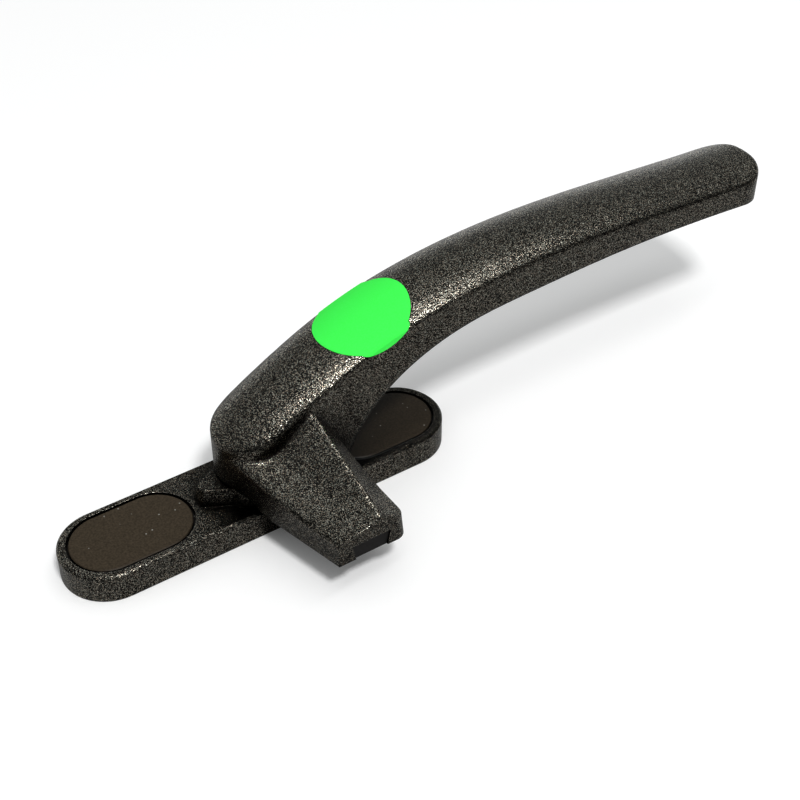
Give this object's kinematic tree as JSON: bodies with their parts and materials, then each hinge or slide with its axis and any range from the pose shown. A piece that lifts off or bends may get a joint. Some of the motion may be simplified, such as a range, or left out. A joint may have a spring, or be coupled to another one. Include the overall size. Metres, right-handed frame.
{
  "type": "casement window handle",
  "caption": "Cockspur handle: a curved lever with a cast nose turns on a round-ended plate with oval screw covers, to clamp a casement window shut.",
  "frame": {"origin": "on the plate's back face at the pivot axis, midway between the two fixing screws", "axes": "+X along the plate towards the lever's tip, -Y the way the nose points, +Z off the window towards the hand"},
  "size_m": [0.1778, 0.0437, 0.0445],
  "materials": {
    "bronze_coat": "dark bronze powder coat with fine metallic flecks",
    "cap_plastic": "smooth satin brown",
    "washer_plastic": "plain off-white",
    "pad_plastic": "smooth dark brown",
    "steel": "plain zinc plated",
    "green_paper": "matt fluorescent paper"
  },
  "bodies": {
    "base": {"base_plate": "bronze_coat", "cap_left": "cap_plastic", "cap_right": "cap_plastic", "thrust_washer": "washer_plastic", "disc_spring": "steel"},
    "lever_arm": {"lever": "bronze_coat", "nose_pad": "pad_plastic", "pivot_rivet": "steel", "keeper_washer": "steel", "dot_label": "green_paper"}
  },
  "joints": [
    {"name": "lever_turn", "type": "hinge", "parent": "base", "child": "lever_arm", "pos_m": [0, 0, 0], "axis": [0, 0, 1], "range_deg": [0, 90]}
  ]
}
